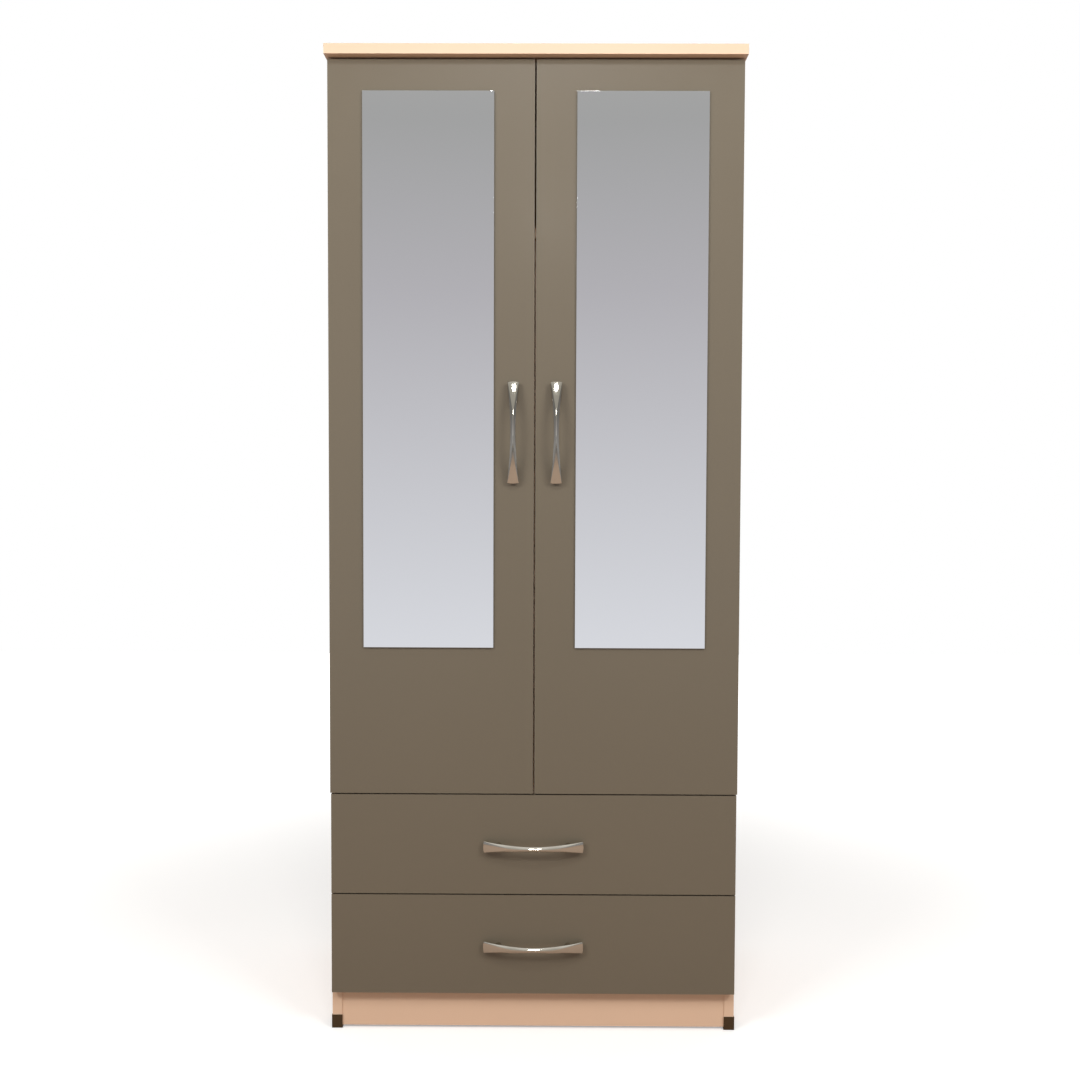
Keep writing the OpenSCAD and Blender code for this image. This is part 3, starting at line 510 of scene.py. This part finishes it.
def powder_coat(colour):
    """Cream epoxy powder on pressed steel, polished grey where the rollers run."""
    finish = Finish("runner_epoxy")
    track = finish.effect(hairline_scuffs, Stretch=(700, 14, 700), Amount=0.55)["Mask"]
    rub = finish.effect(edge_rub, Reach=0.6 * MM, Amount=0.7)["Mask"]
    drift = finish.effect(tone_drift, Colour=rgba(colour), Size=0.05, Amount=0.06)["Colour"]
    marked = finish.w.mix(track, drift, rgba(ROLLER_TRACK))
    finish.feed(Base_Color=finish.w.mix(rub, marked, rgba(RUBBED_EPOXY)))
    finish.roughness(0.30, 0.44, 0.012)
    finish.relief(0.9 * MM, 0.04 * MM)
    return finish.material


def moulded_plastic(name, colour, grain, rough):
    """Moulded plastic with a fine grain and slightly lighter, rubbed edges."""
    finish = Finish(name)
    drift = finish.effect(tone_drift, Colour=rgba(colour), Size=0.012, Amount=0.14)["Colour"]
    rub = finish.effect(edge_rub, Reach=0.7 * MM, Amount=0.5)["Mask"]
    lighter = [min(1.0, channel * 1.6 + 0.02) for channel in colour]
    dust = finish.effect(settled_dust, Amount=0.25)["Mask"]
    worn = finish.w.mix(rub, drift, rgba(lighter))
    finish.feed(Base_Color=finish.w.mix(dust, worn, rgba(PLASTIC_DUST)))
    finish.roughness(rough - 0.06, rough + 0.06, 0.004)
    finish.relief(grain, 0.05 * MM)
    return finish.material


def hardboard(name, lacquer, raw, rear_is_raw):
    """Thin fibreboard, lacquered on the side that shows and bare brown on the other."""
    finish = Finish("hardboard." + name)
    fibres = finish.w.noise(0.0035, 6.0)
    flecks = finish.w.ramp(finish.w.noise(0.0012, 3.0), 0.55, 0.8)
    light = [min(1.0, channel * 1.5) for channel in raw]
    bare = finish.w.mix(fibres, rgba(raw), rgba(light))
    bare = finish.w.mix(finish.w.math("MULTIPLY", flecks, 0.35), bare, rgba(HARDBOARD_FLECK))
    paint = finish.effect(tone_drift, Colour=rgba(lacquer), Size=0.10, Amount=0.05)["Colour"]
    if rear_is_raw:
        side = finish.effect(board_side)["Rear"]
    else:
        normal = finish.w.add("ShaderNodeSeparateXYZ",
                              {0: finish.w.add("ShaderNodeTexCoord").outputs["Normal"]})
        side = finish.w.ramp(normal.outputs["Z"], -0.90, -0.96)
    finish.feed(Base_Color=finish.w.mix(side, paint, bare))
    finish.feed(Roughness=finish.w.ramp(side, 0.0, 1.0, 0.46, 0.72))
    finish.relief(1.6 * MM, 0.06 * MM)
    return finish.material


def drawer_foil(name, colour, front):
    """Matt foil wrapped round the drawer boards."""
    finish = Finish("drawer_board." + name)
    drift = finish.effect(tone_drift, Colour=rgba(colour), Size=0.10, Amount=0.05)["Colour"]
    print_lines = finish.effect(hairline_scuffs, Stretch=(500, 9, 500), Amount=0.10)["Mask"]
    grained = finish.w.mix(print_lines, drift, rgba(FOIL_GRAIN))
    dust = finish.effect(settled_dust, Amount=0.12)["Mask"]
    finish.feed(Base_Color=finish.w.mix(dust, grained, rgba(FOIL_DUST)))
    finish.roughness(0.44, 0.56, 0.02)
    finish.relief(1 * MM, 0.03 * MM)
    return finish.material


def bare_beech(colour):
    """Turned beech with short dark flecks along its grain."""
    finish = Finish("dowel_wood")
    drift = finish.effect(tone_drift, Colour=rgba(colour), Size=0.006, Amount=0.22)["Colour"]
    flecks = finish.effect(hairline_scuffs, Stretch=(180, 2200, 2200), Amount=0.5)["Mask"]
    finish.feed(Base_Color=finish.w.mix(flecks, drift, rgba(BEECH_FLECK)))
    finish.roughness(0.55, 0.70, 0.003)
    finish.relief(0.6 * MM, 0.08 * MM)
    return finish.material


# ---------------------------------------------------------------- work on the CAD nodes


def paint(node, material):
    """Puts a finish on every material slot of a CAD node."""
    for slot in NODES[node].material_slots:
        slot.material = material


def soften(node, width, segments=2):
    """Rounds a CAD node's sharp edges with modifiers, leaving its mesh as it is."""
    piece = NODES[node]
    weld = piece.modifiers.new("Weld", "WELD")
    weld.merge_threshold = 0.01 * MM
    bevel = piece.modifiers.new("Rounded edges", "BEVEL")
    bevel.width = width
    bevel.segments = segments
    bevel.limit_method = "ANGLE"
    bevel.angle_limit = math.radians(38)
    bevel.use_clamp_overlap = True
    normals = piece.modifiers.new("Smooth faces", "WEIGHTED_NORMAL")
    normals.weight = 100


# ---------------------------------------------------------------- bow handle

# Least width of both facets together, and least drop of a facet.
FACETS = 0.8 * MM
LEAST_DROP = 0.4 * MM
# Height of the upright rim under a facet, and how far the bow narrows below it on each side.
RIM = 0.6 * MM
UNDERCUT = 0.9 * MM
# Round of a post's foot, and how far its shaft is thinner above the foot.
FOOT_ROUND = 0.3 * MM
SHAFT_STEP = 0.5 * MM


def bow_section(share, shape):
    """Outline of the bow at a share from -1 to 1 of its half length: (across, height) pairs."""
    away = abs(share)
    width = shape.waist + (BOW_WIDTH - shape.waist) * away ** 1.8
    height = shape.end_rise + (BOW_RISE - shape.end_rise) * (1 - away * away)
    start = 1 - shape.flare / (BOW_LENGTH / 2)
    open_share = max(0.0, (away - start) / (1 - start))
    face = shape.ridge + (BOW_WIDTH - FACETS - shape.ridge) * open_share ** 1.15
    face = min(face, width - FACETS)
    steepness = (width - face) / (shape.waist - shape.ridge)
    drop = min(LEAST_DROP + (shape.facet_drop - LEAST_DROP) * steepness, shape.facet_drop)
    half_face, half, under = face / 2, width / 2, width / 2 - UNDERCUT
    side = height - drop
    back = height - shape.thickness
    fall = shape.crown * face / BOW_WIDTH
    domed = [(half_face * step, height - fall * step * step) for step in (-1, -0.5, 0, 0.5, 1)]
    return domed + [(half, side), (half, side - RIM), (under, back), (-under, back),
                    (-half, side - RIM), (-half, side)]


def bow_blank(shape, stations=56):
    """The bow alone, lofted through its sections along X, standing up along Z."""
    mesh = bmesh.new()
    rings = []
    for i in range(stations + 1):
        share = -math.cos(math.pi * i / stations)
        ring = []
        for across, height in bow_section(share, shape):
            bulge = shape.end_bulge * (2 * across / BOW_WIDTH) ** 2
            ring.append(mesh.verts.new((share * (BOW_LENGTH / 2 - bulge), across, height)))
        rings.append(ring)
    for near, far in zip(rings, rings[1:]):
        for k, corner in enumerate(near):
            after = (k + 1) % len(near)
            mesh.faces.new((corner, near[after], far[after], far[k]))
    mesh.faces.new(reversed(rings[0]))
    mesh.faces.new(rings[-1])
    bmesh.ops.recalc_face_normals(mesh, faces=mesh.faces)
    return mesh_object("bow_blank", mesh)


def post_blank(along, shape, sides=40):
    """One post with its screw bore, turned about Z, its foot on the door's face."""
    radius, bore = shape.post_diameter / 2, shape.bore_diameter / 2
    top = shape.end_rise
    bore_top = top - shape.thickness + 1 * MM
    shaft_radius = radius - SHAFT_STEP
    profile = [(bore, 0), (radius - FOOT_ROUND, 0), (radius, FOOT_ROUND), (radius, 2 * MM),
               (shaft_radius, 4 * MM), (shaft_radius, top)]
    mesh = bmesh.new()
    rings = []
    for out, height in profile + [(bore, bore_top)]:
        turns = [2 * math.pi * k / sides for k in range(sides)]
        rings.append([mesh.verts.new((along + out * math.cos(a), out * math.sin(a), height))
                      for a in turns])
    shaft, bore_ring = rings[:-1], rings[-1]
    for near, far in list(zip(shaft, shaft[1:])) + [(bore_ring, shaft[0])]:
        for k in range(sides):
            after = (k + 1) % sides
            mesh.faces.new((near[k], near[after], far[after], far[k]))
    mesh.faces.new(shaft[-1])
    mesh.faces.new(bore_ring)
    bmesh.ops.recalc_face_normals(mesh, faces=mesh.faces)
    return mesh_object("post_blank", mesh)


def mesh_object(name, mesh):
    """Turns a bmesh into an object in the scene."""
    data = bpy.data.meshes.new(name)
    mesh.to_mesh(data)
    mesh.free()
    made = bpy.data.objects.new(name, data)
    bpy.context.scene.collection.objects.link(made)
    return made


def settle_modifiers(piece):
    """Makes what the modifiers show into the piece's own mesh."""
    shown = piece.evaluated_get(bpy.context.evaluated_depsgraph_get())
    data = bpy.data.meshes.new_from_object(shown)
    piece.modifiers.clear()
    piece.data = data


def bow_handle(name, shape):
    """The whole casting: bow with softened facets, joined to its two posts."""
    bow = bow_blank(shape)
    bevel = bow.modifiers.new("Softened facets", "BEVEL")
    bevel.width = 0.3 * MM
    bevel.segments = 2
    bevel.limit_method = "ANGLE"
    bevel.angle_limit = math.radians(12)
    settle_modifiers(bow)
    posts = [post_blank(side * shape.post_spacing / 2, shape) for side in (-1, 1)]
    for post in posts:
        union = bow.modifiers.new("Post", "BOOLEAN")
        union.operation = "UNION"
        union.solver = "EXACT"
        union.object = post
    settle_modifiers(bow)
    for post in posts:
        bpy.data.objects.remove(post)
    bow.name = name
    bow.data.name = name
    for face in bow.data.polygons:
        face.use_smooth = True
    bow.data.set_sharp_from_angle(angle=math.radians(24))
    return bow


def stand_handle(piece, node, upright):
    """Puts a handle where its CAD node is: along Z on a door, along X on a drawer front."""
    low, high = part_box(node)
    middle = (low + high) / 2
    outwards = Matrix.Rotation(math.radians(90), 4, "X")
    if upright:
        outwards = Matrix.Rotation(math.radians(-90), 4, "Y") @ outwards
    piece.data.transform(outwards)
    piece.data.transform(Matrix.Translation((middle.x, high.y, middle.z)))


# ---------------------------------------------------------------- operators


class PieceOperator:
    """What the piece operators share."""

    bl_options = {"REGISTER", "UNDO"}

    def execute(self, context):
        self.make(context.scene.armoire_finishes, context.scene.armoire_edges)
        return {"FINISHED"}


class ARMOIRE_OT_boards(PieceOperator, bpy.types.Operator):
    """Finish the cream boards of the carcass"""

    bl_idname = "armoire.boards"
    bl_label = "Carcass boards"

    def make(self, finishes, edges):
        for node in CREAM_BOARDS:
            paint(node, cream_board(node, finishes.board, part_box(node)[0].y))
            soften(node, edges.board)


class ARMOIRE_OT_fronts(PieceOperator, bpy.types.Operator):
    """Finish the doors and drawer fronts"""

    bl_idname = "armoire.fronts"
    bl_label = "Doors and drawer fronts"

    def make(self, finishes, edges):
        for node in GLOSS_FRONTS:
            paint(node, gloss_front(node, finishes.front, finishes.board))
            soften(node, edges.front, 3)


class ARMOIRE_OT_mirrors(PieceOperator, bpy.types.Operator):
    """Silver the two mirrors and grind their edges"""

    bl_idname = "armoire.mirrors"
    bl_label = "Mirrors"

    def make(self, finishes, edges):
        glass = mirror_glass(finishes.silver, finishes.glass_edge)
        for node in nodes_named("_mirror"):
            paint(node, glass)
            soften(node, edges.glass)


class ARMOIRE_OT_handles(bpy.types.Operator):
    """Cast the four bow handles and stand them on the doors and drawers"""

    bl_idname = "armoire.handles"
    bl_label = "Bow handles"
    bl_options = {"REGISTER", "UNDO"}

    def execute(self, context):
        shape = context.scene.armoire_handle
        chrome = polished_chrome(context.scene.armoire_finishes.chrome)
        for node in nodes_named("_handle"):
            handle = bow_handle(node.replace("_handle", "_bow_handle"), shape)
            stand_handle(handle, node, upright="door" in node)
            handle.data.materials.clear()
            handle.data.materials.append(chrome)
            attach(handle, BODY_OF[node])
            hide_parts(node)
        return {"FINISHED"}


class ARMOIRE_OT_drawer_boxes(PieceOperator, bpy.types.Operator):
    """Finish the drawer sides, backs and bottoms"""

    bl_idname = "armoire.drawer_boxes"
    bl_label = "Drawer boxes"

    def make(self, finishes, edges):
        for node in DRAWER_BOARDS:
            paint(node, drawer_foil(node, finishes.drawer_board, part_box(node)[0].y))
            soften(node, edges.board)
        for node in nodes_named("drawer_bottom"):
            paint(node, hardboard(node, finishes.drawer_board, finishes.raw_back, False))


class ARMOIRE_OT_back(PieceOperator, bpy.types.Operator):
    """Finish the hardboard back"""

    bl_idname = "armoire.back"
    bl_label = "Back"

    def make(self, finishes, edges):
        for node in nodes_named("back_panel"):
            paint(node, hardboard(node, finishes.board, finishes.raw_back, True))


class ARMOIRE_OT_rail(PieceOperator, bpy.types.Operator):
    """Chrome the hanging rail and its sockets"""

    bl_idname = "armoire.rail"
    bl_label = "Hanging rail"

    def make(self, finishes, edges):
        plate = polished_chrome(finishes.chrome)
        for node in nodes_named("hanging_rail", "rail_sockets"):
            paint(node, plate)
            soften(node, edges.metal)


class ARMOIRE_OT_runners(PieceOperator, bpy.types.Operator):
    """Coat the drawer runners and fit their nylon rollers and the plinth blocks"""

    bl_idname = "armoire.runners"
    bl_label = "Runners and rollers"

    def make(self, finishes, edges):
        coat = powder_coat(finishes.epoxy)
        for node in nodes_named("_runners", "_slides"):
            paint(node, coat)
            soften(node, edges.metal)
        nylon = moulded_plastic("nylon", finishes.nylon, 0.0014, 0.48)
        for node in nodes_named("_rollers", "plinth_blocks"):
            paint(node, nylon)
            soften(node, edges.metal)


class ARMOIRE_OT_hinges(PieceOperator, bpy.types.Operator):
    """Plate the hinges and all the small fasteners"""

    bl_idname = "armoire.hinges"
    bl_label = "Hinges and fasteners"

    def make(self, finishes, edges):
        zinc = zinc_plate(finishes.zinc)
        for node in HINGE_PARTS + FASTENERS:
            paint(node, zinc)
            soften(node, edges.metal)


class ARMOIRE_OT_foot_caps(PieceOperator, bpy.types.Operator):
    """Mould the dark foot caps"""

    bl_idname = "armoire.foot_caps"
    bl_label = "Foot caps"

    def make(self, finishes, edges):
        plastic = moulded_plastic("foot_plastic", finishes.foot, 0.0010, 0.50)
        for node in nodes_named("foot_caps"):
            paint(node, plastic)
            soften(node, edges.plastic)


class ARMOIRE_OT_dowels(PieceOperator, bpy.types.Operator):
    """Turn the beech dowels"""

    bl_idname = "armoire.dowels"
    bl_label = "Dowels"

    def make(self, finishes, edges):
        beech = bare_beech(finishes.beech)
        for node in nodes_named("dowels"):
            paint(node, beech)
            soften(node, edges.metal)


# ---------------------------------------------------------------- studio

FLOOR_REACH = 5
FLOOR_DROP = 0.2 * MM
PALE_FLOOR = rgba((0.80, 0.79, 0.78))
FAR_FLOOR = rgba((0.62, 0.63, 0.66))
BLACK = rgba((0, 0, 0))
WHITE = rgba((1, 1, 1))

# Light of the room by height: the place runs from 0 straight down over 0.5 level to 1 straight up.
ROOM_LIGHT = (
    (0.00, (0.28, 0.21, 0.16)), (0.36, (0.34, 0.27, 0.22)), (0.40, (0.45, 0.40, 0.37)),
    (0.434, (0.70, 0.71, 0.75)), (0.57, (0.455, 0.445, 0.47)), (0.63, (0.37, 0.37, 0.37)),
    (0.70, (0.45, 0.44, 0.42)), (0.84, (0.50, 0.49, 0.46)), (1.00, (1.20, 1.20, 1.20)))
SIDE_SHARE = 0.55

# Each lamp: where it stands, the point it looks at, and its width and height, in metres.
TOP_LAMP = ((0.01, -1.9, 2.80), (0, -0.2, 1.2), (0.36, 0.20))
CATCH_LAMP = ((0.024, -2.2, 1.9), (0, -0.2, 1.1), (0.08, 0.14))
KEY_LAMPS = (("left_key_lamp", (-1.6, -2.2, 2.15)), ("right_key_lamp", (1.6, -2.2, 2.15)))
KEY_AIM = (0, -0.2, 1.5)
KEY_SIZE = (1.0, 0.7)

# The dark card: its distance in front, then its left, right, low and high edges, in metres.
CARD_Y = -2.75
CARD_EDGES = (-0.165, 0.118, 0.25, 1.05)


def studio_floor(bounce):
    """A wide pale floor, white to the camera far out; the object gets the bounce colour from it."""
    mesh = bmesh.new()
    corners = [(-1, -1), (1, -1), (1, 1), (-1, 1)]
    height = CAD_BOX[0].z - FLOOR_DROP
    mesh.faces.new([mesh.verts.new((x * FLOOR_REACH, y * FLOOR_REACH, height)) for x, y in corners])
    floor = mesh_object("studio_floor", mesh)
    finish = Finish("studio_floor", Roughness=0.9, Specular_IOR_Level=0.0, Emission_Strength=1.0)
    seen = finish.w.add("ShaderNodeLightPath").outputs["Is Camera Ray"]
    place = finish.w.add("ShaderNodeTexCoord").outputs["Object"]
    away = finish.w.add("ShaderNodeVectorMath", {0: place}, operation="LENGTH").outputs["Value"]
    thrown = finish.w.mix(finish.w.ramp(away, 2.2, FLOOR_REACH), rgba(bounce), FAR_FLOOR)
    finish.feed(Base_Color=finish.w.mix(seen, thrown, PALE_FLOOR))
    glow = finish.w.mix(finish.w.ramp(away, 0.8, 3.0, 0.36, 1.0), BLACK, WHITE)
    finish.feed(Emission_Color=finish.w.mix(seen, BLACK, glow))
    floor.data.materials.append(finish.material)


def studio_room(strength):
    """Light from all round: white to the camera, to the object a soft gradient with dimmer sides."""
    world = bpy.data.worlds.new("studio_room")
    world.use_nodes = True
    w = Wiring(world.node_tree)
    world.node_tree.nodes.clear()
    direction = w.add("ShaderNodeSeparateXYZ", {0: w.add("ShaderNodeTexCoord").outputs["Generated"]})
    height = w.math("MULTIPLY", w.math("ADD", direction.outputs["Z"], 1.0), 0.5)
    gradient = w.add("ShaderNodeValToRGB", {0: height})
    stops = gradient.color_ramp.elements
    for place, colour in ROOM_LIGHT:
        stops.new(place).color = rgba(colour)
    stops.remove(stops[0])
    stops.remove(stops[-1])
    off_axis = w.math("ABSOLUTE", direction.outputs["X"])
    dimming = w.math("MULTIPLY", w.ramp(off_axis, 0.30, 0.80, 1.0, SIDE_SHARE), strength)
    seen = w.add("ShaderNodeBackground", {"Color": WHITE, "Strength": 1.0})
    lighting = w.add("ShaderNodeBackground", {"Color": gradient.outputs[0], "Strength": dimming})
    chooser = w.add("ShaderNodeMixShader", {0: w.add("ShaderNodeLightPath").outputs["Is Camera Ray"],
                                            1: lighting.outputs[0], 2: seen.outputs[0]})
    w.add("ShaderNodeOutputWorld", {"Surface": chooser.outputs[0]})
    bpy.context.scene.world = world


def dark_card():
    """A narrow dark card in front of the object, which gives the chrome its dark line."""
    mesh = bmesh.new()
    left, right, low, high = CARD_EDGES
    corners = [(left, low), (right, low), (right, high), (left, high)]
    mesh.faces.new([mesh.verts.new((x, CARD_Y, z)) for x, z in corners])
    card = mesh_object("dark_card", mesh)
    finish = Finish("dark_card", Roughness=1.0, Base_Color=(0.02, 0.018, 0.015, 1))
    card.data.materials.append(finish.material)
    card.visible_camera = False
    card.visible_shadow = False


def soft_lamp(name, place, aim, size, power, mirrored=True):
    """A rectangular soft lamp that looks at a point; mirrored says if shiny faces show it."""
    lamp = bpy.data.lights.new(name, "AREA")
    lamp.shape = "RECTANGLE"
    lamp.size, lamp.size_y = size
    lamp.energy = power
    made = bpy.data.objects.new(name, lamp)
    made.location = place
    made.rotation_euler = (Vector(aim) - Vector(place)).to_track_quat("-Z", "Y").to_euler()
    made.visible_glossy = mirrored
    bpy.context.scene.collection.objects.link(made)


def camera_matrix(place, turn, dip, roll):
    """World matrix of a camera that looks along +Y, turned, dipped and rolled."""
    ahead = Vector((math.sin(turn) * math.cos(dip), math.cos(turn) * math.cos(dip), -math.sin(dip)))
    right = Vector((math.cos(turn), -math.sin(turn), 0))
    up = right.cross(ahead)
    rolled_right = math.cos(roll) * right + math.sin(roll) * up
    rolled_up = math.cos(roll) * up - math.sin(roll) * right
    turned = Matrix((rolled_right, rolled_up, -ahead)).transposed().to_4x4()
    return Matrix.Translation(place) @ turned


class ARMOIRE_OT_studio(bpy.types.Operator):
    """Set up the floor, the soft light and the camera"""

    bl_idname = "armoire.studio"
    bl_label = "Studio"
    bl_options = {"REGISTER", "UNDO"}

    def execute(self, context):
        studio = context.scene.armoire_studio
        studio_floor(studio.floor_bounce)
        studio_room(studio.room_strength)
        soft_lamp("top_lamp", *TOP_LAMP, studio.top_power)
        for name, place in KEY_LAMPS:
            soft_lamp(name, place, KEY_AIM, KEY_SIZE, studio.key_power, mirrored=False)
        soft_lamp("catch_lamp", *CATCH_LAMP, studio.catch_power)
        dark_card()
        camera = bpy.data.objects.new("camera", bpy.data.cameras.new("camera"))
        context.scene.collection.objects.link(camera)
        camera.data.sensor_width = 36
        camera.data.lens = studio.lens
        camera.matrix_world = camera_matrix(Vector(studio.camera_place), studio.turn, studio.dip,
                                            studio.roll)
        context.scene.camera = camera
        context.scene.view_settings.view_transform = "Standard"
        return {"FINISHED"}


# ---------------------------------------------------------------- panel and registration

PIECES = (ARMOIRE_OT_boards, ARMOIRE_OT_fronts, ARMOIRE_OT_mirrors, ARMOIRE_OT_handles,
          ARMOIRE_OT_drawer_boxes, ARMOIRE_OT_back, ARMOIRE_OT_rail, ARMOIRE_OT_runners,
          ARMOIRE_OT_hinges, ARMOIRE_OT_foot_caps, ARMOIRE_OT_dowels, ARMOIRE_OT_studio)
SETTINGS = {"armoire_finishes": ArmoireFinishes, "armoire_edges": ArmoireEdges,
            "armoire_handle": ArmoireHandle, "armoire_studio": ArmoireStudio}


class ARMOIRE_PT_sidebar(bpy.types.Panel):
    """Pieces of the armoire and their sizes and colours"""

    bl_idname = "ARMOIRE_PT_sidebar"
    bl_label = "Armoire"
    bl_space_type = "VIEW_3D"
    bl_region_type = "UI"
    bl_category = "Armoire"

    def draw(self, context):
        for piece in PIECES:
            self.layout.operator(piece.bl_idname)
        for name, group in SETTINGS.items():
            box = self.layout.box()
            for setting in group.__annotations__:
                box.prop(getattr(context.scene, name), setting)


def register():
    for name, group in SETTINGS.items():
        bpy.utils.register_class(group)
        setattr(bpy.types.Scene, name, bpy.props.PointerProperty(type=group))
    for kind in (*PIECES, ARMOIRE_PT_sidebar):
        bpy.utils.register_class(kind)


def unregister():
    for kind in (ARMOIRE_PT_sidebar, *reversed(PIECES)):
        bpy.utils.unregister_class(kind)
    for name, group in SETTINGS.items():
        delattr(bpy.types.Scene, name)
        bpy.utils.unregister_class(group)


def main():
    register()
    for piece in PIECES:
        family, action = piece.bl_idname.split(".")
        getattr(getattr(bpy.ops, family), action)()


if __name__ == "__main__":
    main()
